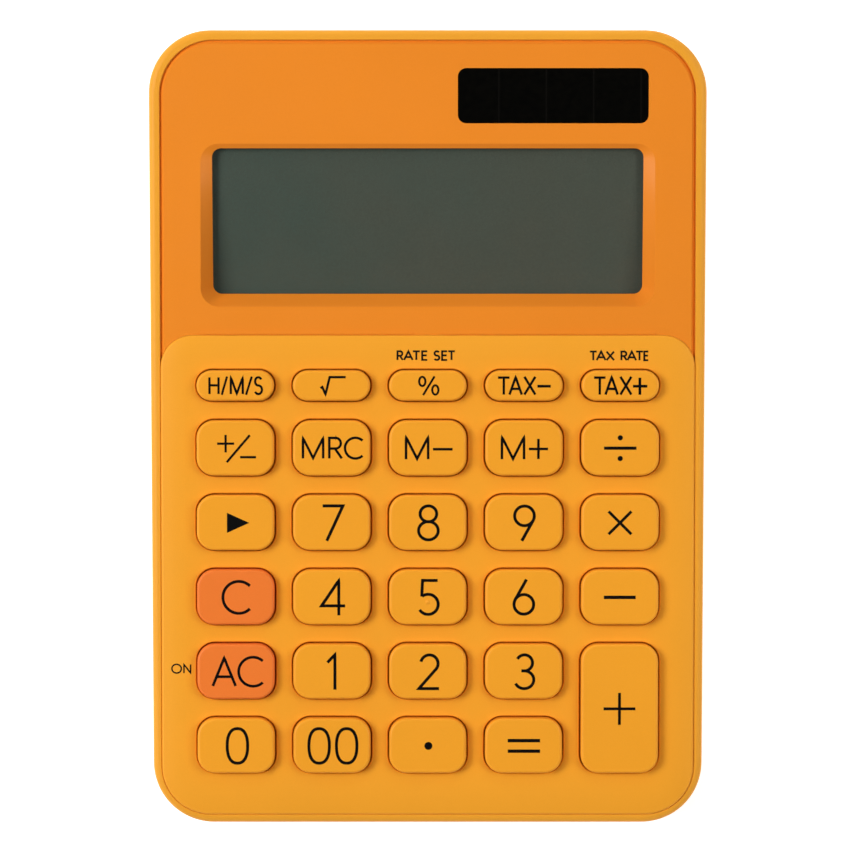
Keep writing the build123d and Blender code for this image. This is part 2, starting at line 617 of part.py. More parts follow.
CAPACITORS = [(25.0, 4.0), (31.5, 4.0)]
with BuildPart() as capacitors:
    with BuildSketch(FACE.offset(BOARD_BOTTOM)):
        with Locations(*CAPACITORS):
            Circle(2.0)
    extrude(amount=-4.6)
    fillet(capacitors.edges().filter_by(GeomType.CIRCLE).group_by(FACE_NORMAL)[0], radius=0.4)
capacitors.part.label = "capacitors"

with BuildPart() as resistors:
    with BuildSketch(FACE.offset(BOARD_BOTTOM)):
        with Locations((10, 8)):
            with GridLocations(4.0, 3.0, 4, 2):
                Rectangle(2.0, 1.25)
    extrude(amount=-0.55)
resistors.part.label = "resistors"

CELL = (-30.0, 2.0)
CELL_RADIUS = 5.8
CELL_W = (-9.8, -6.75)
with BuildPart() as battery_contact:
    with BuildSketch(FACE.offset(BOARD_BOTTOM)):
        with Locations(CELL):
            Circle(4.5)
    extrude(amount=-0.4)
battery_contact.part.label = "battery_contact"

with BuildPart() as battery_cell:
    with BuildSketch(FACE.offset(CELL_W[1])):
        with Locations(CELL):
            Circle(CELL_RADIUS - 0.7)
    extrude(amount=CELL_W[0] - CELL_W[1])
    with BuildSketch(FACE.offset(CELL_W[1] - 0.35)):
        with Locations(CELL):
            Circle(CELL_RADIUS)
    extrude(amount=CELL_W[0] - CELL_W[1] + 0.35)
battery_cell.part.label = "battery_cell"

# A spring-metal bridge that holds the cell against the board
CLIP = 0.35
CLIP_HALF = CELL_RADIUS + 0.5
CLIP_WIDTH = 5.0
CLIP_TOP = CELL_W[0] - 0.05
with BuildPart() as battery_clip:
    with BuildSketch(FACE.offset(CLIP_TOP)):
        with Locations(CELL):
            Rectangle(2 * (CLIP_HALF + CLIP), CLIP_WIDTH)
    extrude(amount=-CLIP)
    with BuildSketch(FACE.offset(CLIP_TOP)):
        for side in (-1, 1):
            with Locations((CELL[0] + side * (CLIP_HALF + CLIP / 2), CELL[1])):
                Rectangle(CLIP, CLIP_WIDTH)
    extrude(amount=BOARD_BOTTOM - CLIP_TOP)
battery_clip.part.label = "battery_clip"

# ---------------------------------------------------------------- solar leads
# Two thin wires, held inside the case from the solar cell down to the board.
LEAD = 0.4


def lead_points(shift):
    """Route of one lead, as points on the face: out of the cell, past the display, to the board."""
    return [
        FACE.from_local_coords(point)
        for point in (
            (36.0 + shift, 62.0, SOLAR_CELL_W[0]),
            (36.0 + shift, 62.0, -9.0),
            (34.0 + shift, 50.0, -12.0),
            (34.5 + shift, 36.0, -12.4),
            (36.0 + shift, 22.0, -11.6),
            (38.0 + shift, 9.0, -10.6),
            (38.0 + shift, 9.0, BOARD_BOTTOM),
        )
    ]


def turn_radii(points):
    """The largest arc that each corner's two runs leave room for."""
    radii = []
    for before, corner, after in zip(points, points[1:], points[2:]):
        run_in = corner - before
        run_out = after - corner
        half_turn = radians(run_in.get_angle(run_out)) / 2
        radii.append(0.45 * min(run_in.length, run_out.length) / tan(half_turn))
    return radii


with BuildPart() as solar_leads:
    for shift in (0.0, 3.0):
        route = [Vector(point) for point in lead_points(shift)]
        radii = turn_radii(route)
        print("solar lead radii", [round(radius, 1) for radius in radii])
        with BuildLine() as lead_line:
            FilletPolyline(*route, radius=radii)
        with BuildSketch(Plane(origin=route[0], z_dir=route[1] - route[0])):
            Circle(LEAD)
        sweep(path=lead_line.wire())
solar_leads.part.label = "solar_leads"

# ---------------------------------------------------------------- rubber keypad
# One rubber sheet with a hollow dome under every key and a conductive pill in each dome.
PILL_RADIUS = 0.9
PILL_W = (-3.5, -3.0)
DOME_TOP = KEY_BOTTOM - 0.06
DOME_POINTS = [key_place(column, row, span)[:2] for key_name, column, row, span in KEYS]
DOME_FOOT_SMALL = 2.6


def dome_foot(v):
    """Radius of a dome's foot: the top row's keys leave less room."""
    return DOME_FOOT_SMALL if v > ROW_V[0] - 1 else DOME_FOOT


with BuildPart() as rubber_keypad:
    with BuildSketch(FACE.offset(BOARD_TOP)):
        add(rounded(-BOARD_HALF_U + 0.6, BOARD_HALF_U - 0.6, BOARD_V[0] + 0.3, BOARD_V[1] - 3.2, 1.0))
        for screw_v in BOARD_SCREW_V:
            with Locations((BOARD_SCREW_U, screw_v), (-BOARD_SCREW_U, screw_v)):
                Circle(BOARD_BOSS + 0.3, mode=Mode.SUBTRACT)
    extrude(amount=MAT_TOP - BOARD_TOP)
    for dome_u, dome_v in DOME_POINTS:
        middle = Plane(
            origin=FACE.from_local_coords((dome_u, dome_v, MAT_TOP)), x_dir=(1, 0, 0), z_dir=FACE.z_dir
        )
        with BuildSketch(middle):
            Circle(dome_foot(dome_v))
        with BuildSketch(middle.offset(DOME_TOP - MAT_TOP)):
            Circle(DOME_CROWN)
        loft()
    for dome_u, dome_v in DOME_POINTS:
        middle = Plane(
            origin=FACE.from_local_coords((dome_u, dome_v, BOARD_TOP)), x_dir=(1, 0, 0), z_dir=FACE.z_dir
        )
        with BuildSketch(middle):
            Circle(dome_foot(dome_v) - DOME_SKIN)
        with BuildSketch(middle.offset(PILL_W[1] - BOARD_TOP)):
            Circle(DOME_CROWN - DOME_SKIN)
        loft(mode=Mode.SUBTRACT)
rubber_keypad.part.label = "rubber_keypad"

with BuildPart() as contact_pills:
    with BuildSketch(FACE.offset(PILL_W[0])):
        with Locations(*DOME_POINTS):
            Circle(PILL_RADIUS)
    extrude(amount=PILL_W[1] - PILL_W[0])
contact_pills.part.label = "contact_pills"

# ---------------------------------------------------------------- keys
# Each key is a cap with a flange that stops under the slab and a plunger over its dome.
PLUNGER = 1.6
KEY_CEILING = KEY_TOP - 1.3
TOUCH_DOT = (0.0, -0.9)     # raised dot that lets a finger find the middle key
TOUCH_DOT_RADIUS = 0.46
TOUCH_DOT_HEIGHT = 0.2
TOUCH_DOT_SPHERE = (TOUCH_DOT_RADIUS ** 2 + TOUCH_DOT_HEIGHT ** 2) / (2 * TOUCH_DOT_HEIGHT)


def make_key(column, row, span):
    """One key, in its place on the face."""
    middle = key_place(column, row, span)[:2]
    with BuildPart() as key:
        with BuildSketch(FACE.offset(KEY_BOTTOM)):
            add(key_shape(column, row, span, -KEY_GAP))
        extrude(amount=KEY_TOP - KEY_BOTTOM)
        fillet(key.faces().sort_by(FACE_NORMAL)[-1].edges(), radius=KEY_EDGE)
        with BuildSketch(FACE.offset(KEY_BOTTOM)):
            add(key_shape(column, row, span, FLANGE - KEY_GAP))
        extrude(amount=FLANGE_TOP - KEY_BOTTOM)
        with BuildSketch(FACE.offset(KEY_BOTTOM)):
            add(key_shape(column, row, span, -KEY_GAP - KEY_WALL))
            with Locations(middle):
                Circle(PLUNGER, mode=Mode.SUBTRACT)
        extrude(amount=KEY_CEILING - KEY_BOTTOM, mode=Mode.SUBTRACT)
    return key


parts = [
    rear_case, front_case, keypad_plate, display_panel, display_window, solar_window, solar_cell,
    lcd_glass, lcd_holder, lcd_ribbon, rubber_keypad, contact_pills, circuit_board, controller_chip,
    capacitors, resistors, battery_cell, battery_contact, battery_clip, case_screws, board_screws,
    rubber_feet, solar_leads, rating_label,
]

for key_name, column, row, span in KEYS:
    key = make_key(column, row, span)
    if key_name == "5":
        u, v = key_place(column, row, span)[:2]
        dot_centre = FACE.from_local_coords(
            (u + TOUCH_DOT[0], v + TOUCH_DOT[1], KEY_TOP + TOUCH_DOT_HEIGHT - TOUCH_DOT_SPHERE)
        )
        with key:
            with Locations(dot_centre):
                Sphere(TOUCH_DOT_SPHERE)
    key.part.label = "key_" + key_name
    parts.append(key)

os.makedirs("parts", exist_ok=True)
for piece in parts:
    export_step(piece.part, "parts/" + piece.part.label + ".step")
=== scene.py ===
import json
import math

import bmesh
import bpy
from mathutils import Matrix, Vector
from mathutils.bvhtree import BVHTree


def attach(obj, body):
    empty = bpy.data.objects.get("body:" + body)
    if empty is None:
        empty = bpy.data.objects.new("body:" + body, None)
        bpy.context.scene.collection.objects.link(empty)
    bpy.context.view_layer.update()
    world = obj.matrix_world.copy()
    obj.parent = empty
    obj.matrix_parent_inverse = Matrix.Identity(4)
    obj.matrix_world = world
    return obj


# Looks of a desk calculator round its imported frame. Lengths are in metres, and MM turns
# millimetres into them. The front face is a tilted plane with its own axes: u to the
# right, v up the slope and w out of the face, which is the direction that the keys move in.

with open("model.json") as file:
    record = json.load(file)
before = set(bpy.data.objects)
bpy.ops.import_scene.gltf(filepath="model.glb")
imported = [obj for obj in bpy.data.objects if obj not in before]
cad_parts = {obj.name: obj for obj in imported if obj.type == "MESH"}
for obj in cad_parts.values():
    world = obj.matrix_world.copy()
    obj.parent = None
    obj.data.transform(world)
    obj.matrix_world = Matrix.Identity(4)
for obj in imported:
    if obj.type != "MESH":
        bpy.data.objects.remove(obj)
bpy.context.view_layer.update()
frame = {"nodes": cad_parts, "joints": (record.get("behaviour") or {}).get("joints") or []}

MM = 0.001
FACE_W = Vector(frame["joints"][0]["axis"])
FACE_U = Vector((1, 0, 0))
FACE_V = FACE_W.cross(FACE_U)
NODES = frame["nodes"]


def face_box(node):
    """Lowest and highest u, v and w of a CAD node at rest, in metres."""
    spans = []
    for axis in (FACE_U, FACE_V, FACE_W):
        values = [axis.dot(vertex.co) for vertex in NODES[node].data.vertices]
        spans.append((min(values), max(values)))
    return spans


def face_point(u, v, w):
    """The point with these face coordinates."""
    return FACE_U * u + FACE_V * v + FACE_W * w


# ---------------------------------------------------------------- camera
CAMERA_DISTANCE = 0.600
CAMERA_LEAN = math.radians(2.8)     # from the face's normal, towards the display
CAMERA_LENS = 134.7
AIM_SHIFT_U = -0.52 * MM
AIM_SHIFT_V = 0.88 * MM


def add_camera():
    """Looks down on the face from far away, as a catalogue picture does."""
    rim = face_box("front_case")
    middle_v = (rim[1][0] + rim[1][1]) / 2
    aim = face_point(AIM_SHIFT_U, middle_v + AIM_SHIFT_V, rim[2][1])
    back = FACE_W * math.cos(CAMERA_LEAN) + FACE_V * math.sin(CAMERA_LEAN)
    data = bpy.data.cameras.new("camera")
    data.lens = CAMERA_LENS
    data.sensor_width = 36.0
    data.clip_start = 0.05
    data.clip_end = 20.0
    camera = bpy.data.objects.new("camera", data)
    camera.location = aim + back * CAMERA_DISTANCE
    camera.rotation_mode = "QUATERNION"
    camera.rotation_quaternion = (-back).to_track_quat("-Z", "Y")
    bpy.context.scene.collection.objects.link(camera)
    bpy.context.scene.camera = camera


add_camera()


# ---------------------------------------------------------------- materials
class Maker:
    """Short calls for building one node material."""

    def __init__(self, name):
        self.material = bpy.data.materials.new(name)
        self.material.use_nodes = True
        self.tree = self.material.node_tree
        self.shader = self.tree.nodes["Principled BSDF"]
        self.place = self.tree.nodes.new("ShaderNodeTexCoord").outputs["Object"]

    def link(self, source, target):
        self.tree.links.new(source, target)

    def put(self, value, socket):
        """Sets a socket from a number or a colour, or links it to another."""
        if isinstance(value, tuple):
            socket.default_value = (*value, 1.0)
        elif isinstance(value, (int, float)):
            socket.default_value = value
        else:
            self.link(value, socket)

    def constant(self, **values):
        """Fixed numbers on the shader itself."""
        for name, value in values.items():
            self.shader.inputs[name.replace("_", " ")].default_value = value

    def noise(self, scale, detail=2.0, roughness=0.5, where=None):
        """Cloudy noise with `scale` features to the metre."""
        node = self.tree.nodes.new("ShaderNodeTexNoise")
        node.inputs["Scale"].default_value = scale
        node.inputs["Detail"].default_value = detail
        node.inputs["Roughness"].default_value = roughness
        self.link(where or self.place, node.inputs["Vector"])
        return node.outputs["Fac"]

    def spots(self, scale, where=None):
        """Distance to scattered points, for grain and speckle."""
        node = self.tree.nodes.new("ShaderNodeTexVoronoi")
        node.inputs["Scale"].default_value = scale
        self.link(where or self.place, node.inputs["Vector"])
        return node.outputs["Distance"]

    def stretched(self, x, y, z):
        """Object coordinates scaled along each axis."""
        node = self.tree.nodes.new("ShaderNodeMapping")
        node.inputs["Scale"].default_value = (x, y, z)
        self.link(self.place, node.inputs["Vector"])
        return node.outputs["Vector"]

    def axis(self, index):
        """One object coordinate, in metres."""
        node = self.tree.nodes.new("ShaderNodeSeparateXYZ")
        self.link(self.place, node.inputs["Vector"])
        return node.outputs[index]

    def spread(self, value, low, high, new_low=0.0, new_high=1.0):
        """Maps a value from one range to another, clamped."""
        node = self.tree.nodes.new("ShaderNodeMapRange")
        self.put(value, node.inputs["Value"])
        node.inputs["From Min"].default_value = low
        node.inputs["From Max"].default_value = high
        node.inputs["To Min"].default_value = new_low
        node.inputs["To Max"].default_value = new_high
        return node.outputs["Result"]

    def math(self, kind, first, second=0.0):
        """One arithmetic step."""
        node = self.tree.nodes.new("ShaderNodeMath")
        node.operation = kind
        self.put(first, node.inputs[0])
        self.put(second, node.inputs[1])
        return node.outputs["Value"]

    def blend(self, value, first, second):
        """A colour between two colours, by a value from 0 to 1."""
        node = self.tree.nodes.new("ShaderNodeMix")
        node.data_type = "RGBA"
        sockets = {socket.identifier: socket for socket in node.inputs}
        self.link(value, sockets["Factor_Float"])
        self.put(first, sockets["A_Color"])
        self.put(second, sockets["B_Color"])
        outputs = {socket.identifier: socket for socket in node.outputs}
        return outputs["Result_Color"]

    def colour(self, value):
        self.link(value, self.shader.inputs["Base Color"])

    def gloss(self, value):
        self.link(value, self.shader.inputs["Roughness"])

    def bump(self, height, distance):
        """Surface relief, `distance` metres deep."""
        node = self.tree.nodes.new("ShaderNodeBump")
        node.inputs["Distance"].default_value = distance
        self.link(height, node.inputs["Height"])
        self.link(node.outputs["Normal"], self.shader.inputs["Normal"])


def tinted(colour, factor):
    """A colour made lighter or darker."""
    return tuple(min(1.0, channel * factor) for channel in colour)


def plastic(name, colour, roughness=0.42, grain=4200.0, relief=0.006, drift=0.03, shine=0.15):
    """Satin plastic from a spark-eroded mould: fine grain, slow drift in tone and gloss."""
    make = Maker(name)
    slow = make.noise(30.0, 3.0)
    fine = make.noise(grain, 2.0, 0.6)
    tone = make.math("ADD", make.math("MULTIPLY", slow, 0.6), make.math("MULTIPLY", fine, 0.4))
    level = make.spread(tone, 0.32, 0.68)
    make.colour(make.blend(level, tinted(colour, 1 - drift), tinted(colour, 1 + drift)))
    make.gloss(make.spread(make.noise(170.0, 4.0), 0.3, 0.7, roughness - 0.03, roughness + 0.04))
    make.constant(IOR=1.5, Specular_IOR_Level=shine)
    make.bump(make.math("ADD", fine, make.spots(grain * 0.6)), relief * MM)
    return make.material


def metal(name, colour, roughness, brush=(900.0, 60.0, 900.0)):
    """Worked metal with fine lines drawn along one way."""
    make = Maker(name)
    lines = make.noise(1.0, 3.0, 0.6, make.stretched(*brush))
    make.colour(make.blend(make.spread(lines, 0.3, 0.7), tinted(colour, 0.82), tinted(colour, 1.08)))
    make.gloss(make.spread(lines, 0.3, 0.7, roughness - 0.06, roughness + 0.1))
    make.constant(Metallic=1.0)
    make.bump(lines, 0.008 * MM)
    return make.material


def display_glass(name):
    """The unlit display behind its polariser: grey green, warmer towards the right."""
    make = Maker(name)
    shift = make.spread(make.axis("X"), -40 * MM, 42 * MM)
    cloud = make.math("ADD", shift, make.spread(make.noise(45.0, 3.0), 0.3, 0.7, -0.35, 0.35))
    base = make.blend(cloud, LCD_COOL, LCD_WARM)
    speck = make.spread(make.noise(2600.0, 2.0), 0.35, 0.65, 0.0, 0.35)
    make.colour(make.blend(speck, base, tinted(LCD_WARM, 0.72)))
    make.gloss(make.spread(make.noise(300.0, 3.0), 0.3, 0.7, 0.42, 0.52))
    make.constant(IOR=1.45, Specular_IOR_Level=0.2)
    make.bump(make.noise(2600.0, 2.0), 0.003 * MM)
    return make.material


def clear_lens(name):
    """Thin clear acrylic: mostly see-through, with a faint sheen and a trace of haze."""
    make = Maker(name)
    haze = make.noise(120.0, 3.0)
    make.colour(make.blend(make.spread(haze, 0.3, 0.7), (0.01, 0.011, 0.01), (0.02, 0.021, 0.02)))
    make.gloss(make.spread(haze, 0.3, 0.7, 0.06, 0.12))
    make.constant(IOR=1.49, Alpha=0.14)
    make.bump(haze, 0.002 * MM)
    return make.material


CELL_PITCH = 8.9 * MM        # width of one of the solar cell's strips


def cell_window(name):
    """Near-black polished window over the solar cell, with the cell's divisions just showing."""
    make = Maker(name)
    step = make.math("FRACT", make.math("MULTIPLY", make.axis("X"), 1 / CELL_PITCH))
    line = make.spread(make.math("ABSOLUTE", make.math("SUBTRACT", step, 0.5)), 0.0, 0.03, 1.0, 0.0)
    fine = make.noise(900.0, 3.0)
    base = make.blend(make.spread(fine, 0.3, 0.7), (0.0012, 0.0012, 0.0010), (0.0024, 0.0022, 0.0016))
    make.colour(make.blend(line, base, (0.0045, 0.0040, 0.0034)))
    make.gloss(make.spread(make.noise(200.0, 3.0), 0.3, 0.7, 0.10, 0.17))
    make.constant(IOR=1.5, Specular_IOR_Level=0.12)
    make.bump(fine, 0.001 * MM)
    return make.material


def silicon(name):
    """The solar cell itself: dark violet grey with silver strips between its cells."""
    make = Maker(name)
    step = make.math("FRACT", make.math("MULTIPLY", make.axis("X"), 1 / CELL_PITCH))
    line = make.spread(make.math("ABSOLUTE", make.math("SUBTRACT", step, 0.5)), 0.0, 0.05, 1.0, 0.0)
    flakes = make.spots(700.0)
    base = make.blend(make.spread(flakes, 0.0, 0.6), (0.010, 0.008, 0.014), (0.022, 0.016, 0.026))
    make.colour(make.blend(line, base, (0.45, 0.45, 0.47)))
    make.gloss(make.spread(flakes, 0.0, 0.6, 0.16, 0.3))
    make.bump(flakes, 0.004 * MM)
    return make.material


def circuit(name):
    """Green solder mask over copper tracks."""
    make = Maker(name)
    tracks = make.tree.nodes.new("ShaderNodeTexBrick")
    tracks.inputs["Scale"].default_value = 180.0
    tracks.inputs["Mortar Size"].default_value = 0.05
    make.link(make.place, tracks.inputs["Vector"])
    edge = make.spread(make.math("ADD", tracks.outputs["Fac"], make.noise(140.0)), 0.6, 1.3)
    make.colour(make.blend(edge, (0.010, 0.085, 0.030), (0.035, 0.190, 0.060)))
    make.gloss(make.spread(make.noise(500.0), 0.3, 0.7, 0.28, 0.42))
    make.bump(edge, 0.02 * MM)
    return make.material


def ink(name, colour):
    """Thin printed ink: near black, with a slightly uneven film."""
    make = Maker(name)
    film = make.noise(2400.0, 3.0)
    make.colour(make.blend(make.spread(film, 0.3, 0.7), tinted(colour, 0.8), tinted(colour, 1.25)))
    make.gloss(make.spread(film, 0.3, 0.7, 0.42, 0.58))
    make.constant(IOR=1.45, Specular_IOR_Level=0.1)
    make.bump(film, 0.003 * MM)
    return make.material


ORANGE_CASE = (0.891, 0.372, 0.029)
ORANGE_PANEL = (0.874, 0.258, 0.019)
ORANGE_SLAB = (0.933, 0.376, 0.026)
ORANGE_KEY = (0.943, 0.374, 0.024)
RED_KEY = (0.905, 0.208, 0.032)
LCD_COOL = (0.102, 0.142, 0.112)
LCD_WARM = (0.128, 0.140, 0.105)

LOOKS = {
    "front_case": plastic("case_plastic", ORANGE_CASE),
    "rear_case": plastic("rear_plastic", ORANGE_CASE, 0.46, relief=0.010),
    "display_panel": plastic("panel_plastic", ORANGE_PANEL, 0.40, relief=0.004),
    "keypad_plate": plastic("slab_plastic", ORANGE_SLAB),
    "display_window": clear_lens("window_acrylic"),
    "lcd_glass": display_glass("display_polariser"),
    "lcd_holder": plastic("holder_plastic", (0.62, 0.60, 0.55), 0.5),
    "lcd_ribbon": plastic("ribbon_film", (0.45, 0.17, 0.03), 0.3, grain=1500.0, shine=0.5),
    "solar_window": cell_window("solar_glass"),
    "solar_cell": silicon("solar_silicon"),
    "solar_leads": plastic("lead_insulation", (0.35, 0.015, 0.012), 0.45),
    "rubber_keypad": plastic("keypad_silicone", (0.30, 0.30, 0.31), 0.6, relief=0.012),
    "contact_pills": plastic("carbon_pill", (0.012, 0.012, 0.013), 0.7),
    "circuit_board": circuit("board_green"),
    "controller_chip": plastic("chip_epoxy", (0.010, 0.010, 0.011), 0.32, relief=0.02),
    "capacitors": plastic("capacitor_sleeve", (0.02, 0.035, 0.09), 0.35),
    "resistors": plastic("resistor_ceramic", (0.03, 0.03, 0.035), 0.4),
    "battery_cell": metal("cell_steel", (0.66, 0.66, 0.67), 0.22),
    "battery_contact": metal("contact_brass", (0.80, 0.58, 0.22), 0.3),
    "battery_clip": metal("clip_steel", (0.62, 0.62, 0.63), 0.3),
    "case_screws": metal("screw_steel", (0.52, 0.52, 0.54), 0.32),
    "board_screws": metal("board_screw_steel", (0.56, 0.56, 0.57), 0.32),
    "rubber_feet": plastic("foot_rubber", (0.035, 0.035, 0.037), 0.75, grain=2200.0, relief=0.03),
    "rating_label": plastic("label_film", (0.60, 0.60, 0.62), 0.28, grain=5200.0, relief=0.002),
}
KEY_LOOK = plastic("key_plastic", ORANGE_KEY, 0.38)
RED_KEY_LOOK = plastic("red_key_plastic", RED_KEY, 0.38)
LEGEND_INK = ink("legend_ink", (0.0016, 0.0015, 0.0018))
LABEL_INK = ink("label_ink", (0.006, 0.005, 0.004))

for node_name, node_object in NODES.items():
    look = LOOKS.get(node_name, KEY_LOOK)
    if node_name in ("key_clear", "key_all_clear"):
        look = RED_KEY_LOOK
    node_object.data.materials.clear()
    node_object.data.materials.append(look)


# ---------------------------------------------------------------- legend strokes
# A stroke is (width, points, closed) and a patch is (0, points, True), in millimetres on
# the face, measured from the middle of the key or label that it belongs to.
ARC_STEP = math.radians(7)
OVAL_STEPS = 52


def arc(u, v, radius_u, radius_v, start, end):
    """Points along part of an oval, from one angle to another in degrees."""
    first, last = math.radians(start), math.radians(end)
    steps = max(2, math.ceil(abs(last - first) / ARC_STEP))
    angles = [first + (last - first) * step / steps for step in range(steps + 1)]
    return [(u + radius_u * math.cos(angle), v + radius_v * math.sin(angle)) for angle in angles]


def oval(u, v, radius_u, radius_v, power=2.0):
    """A closed oval, squarer where `power` is more than 2."""
    points = []
    for step in range(OVAL_STEPS):
        angle = math.tau * step / OVAL_STEPS
        across, along = math.cos(angle), math.sin(angle)
        points.append((
            u + radius_u * math.copysign(abs(across) ** (2 / power), across),
            v + radius_v * math.copysign(abs(along) ** (2 / power), along),
        ))
    return points


def tangent_angle(centre, radius, point, side):
    """Angle in degrees where a line from a point touches a circle, on one side."""
    to_point = Vector(point) - Vector(centre)
    away = math.atan2(to_point.y, to_point.x)
    return math.degrees(away + side * math.acos(radius / to_point.length))


def turned(points):
    """Points turned half a turn about the middle."""
    return [(-u, -v) for u, v in points]


def stroke(width, *lines):
    """Open strokes of one width."""
    return [(width, line, False) for line in lines]


def ring(width, points):
    """A closed stroke."""
    return [(width, points, True)]


def letter(name, left, right, low, high, width):
    """A capital letter's strokes, with their middle lines inside a box."""
    shapes = {
        "A": [[(0, 0), (0.5, 1), (1, 0)], [(0.17, 0.33), (0.83, 0.33)]],
        "C": [arc(0.56, 0.5, 0.56, 0.5, 47, 313)],
        "E": [[(1, 1), (0, 1), (0, 0), (1, 0)], [(0, 0.53), (0.9, 0.53)]],
        "H": [[(0, 0), (0, 1)], [(1, 0), (1, 1)], [(0, 0.52), (1, 0.52)]],
        "M": [[(0, 0), (0, 1), (0.5, 0.02), (1, 1), (1, 0)]],
        "N": [[(0, 0), (0, 1), (1, 0), (1, 1)]],
        "O": [arc(0.5, 0.5, 0.5, 0.5, 0, 360)],
        "R": [
            [(0, 0), (0, 1), (0.5, 1), *arc(0.5, 0.74, 0.42, 0.26, 90, -90), (0, 0.48)],
            [(0.45, 0.48), (1, 0)],
        ],
        "S": [arc(0.5, 0.755, 0.42, 0.245, 28, 270) + arc(0.5, 0.255, 0.47, 0.255, 90, -152)[1:]],
        "T": [[(0, 1), (1, 1)], [(0.5, 1), (0.5, 0)]],
        "X": [[(0, 0), (1, 1)], [(0, 1), (1, 0)]],
    }
    lines = shapes[name]
    return stroke(
        width, *[[(left + u * (right - left), low + v * (high - low)) for u, v in line] for line in lines]
    )


DIGIT = 0.40                # stroke of the large figures
TOP = 3.2                   # middle line of a large figure's topmost stroke
NINE_BOWL = ((0.05, 1.32), 1.85)
NINE_FOOT = (-0.45, -3.4)
TWO_BOWL = ((0.2, 1.55), 1.63)
TWO_FOOT = (-1.8, -TOP)


def nine():
    """A ring with a straight tail."""
    (u, v), radius = NINE_BOWL
    touch = tangent_angle(NINE_BOWL[0], radius, NINE_FOOT, 1)
    return arc(u, v, radius, radius, 0, 360), [arc(u, v, radius, radius, touch, touch)[0], NINE_FOOT]


def two():
    """A hook that runs straight down to the left, and a foot."""
    (u, v), radius = TWO_BOWL
    touch = tangent_angle(TWO_BOWL[0], radius, TWO_FOOT, 1)
    return arc(u, v, radius, radius, 168, touch) + [TWO_FOOT, (2.0, -TOP)]


nine_ring, nine_tail = nine()
FIGURES = {
    "7": stroke(DIGIT, [(-1.85, TOP), (1.95, TOP), (-1.1, -3.4)]),
    "8": ring(DIGIT, oval(0.0, 1.70, 1.56, 1.50)) + ring(DIGIT, oval(0.0, -1.48, 1.85, 1.72)),
    "9": ring(DIGIT, nine_ring[:-1]) + stroke(DIGIT, nine_tail),
    "4": stroke(DIGIT, [(1.15, -3.4), (1.15, 3.2), (-2.1, -1.6), (2.35, -1.6)]),
    "5": stroke(DIGIT, [(1.75, TOP), (-1.1, TOP), (-1.25, 0.15)], arc(-0.05, -1.32, 1.9, 1.9, 127, -147)),
    "6": ring(DIGIT, turned(nine_ring[:-1])) + stroke(DIGIT, turned(nine_tail)),
    "1": stroke(DIGIT, [(0.4, -3.4), (0.4, 3.25), (-1.0, 1.75)]),
    "2": stroke(DIGIT, two()),
    "3": stroke(
        DIGIT,
        arc(0.1, 1.68, 1.5, 1.52, 152, -90) + [(-0.5, 0.16)],
        arc(0.05, -1.52, 1.8, 1.68, 90, -155),
    ),
    "0": ring(DIGIT, oval(0.0, 0.0, 1.93, 3.28, 2.35)),
    "00": ring(DIGIT, oval(-2.6, 0.0, 1.93, 3.28, 2.35)) + ring(DIGIT, oval(2.6, 0.0, 1.93, 3.28, 2.35)),
}


def bar(width, left, right, v):
    """A level stroke."""
    return stroke(width, [(left, v), (right, v)])


def upright(width, u, low, high):
    """A vertical stroke."""
    return stroke(width, [(u, low), (u, high)])


def memory(mark):
    """M with a sign after it."""
    return letter("M", -4.2, -0.05, -2.08, 2.08, 0.34) + mark


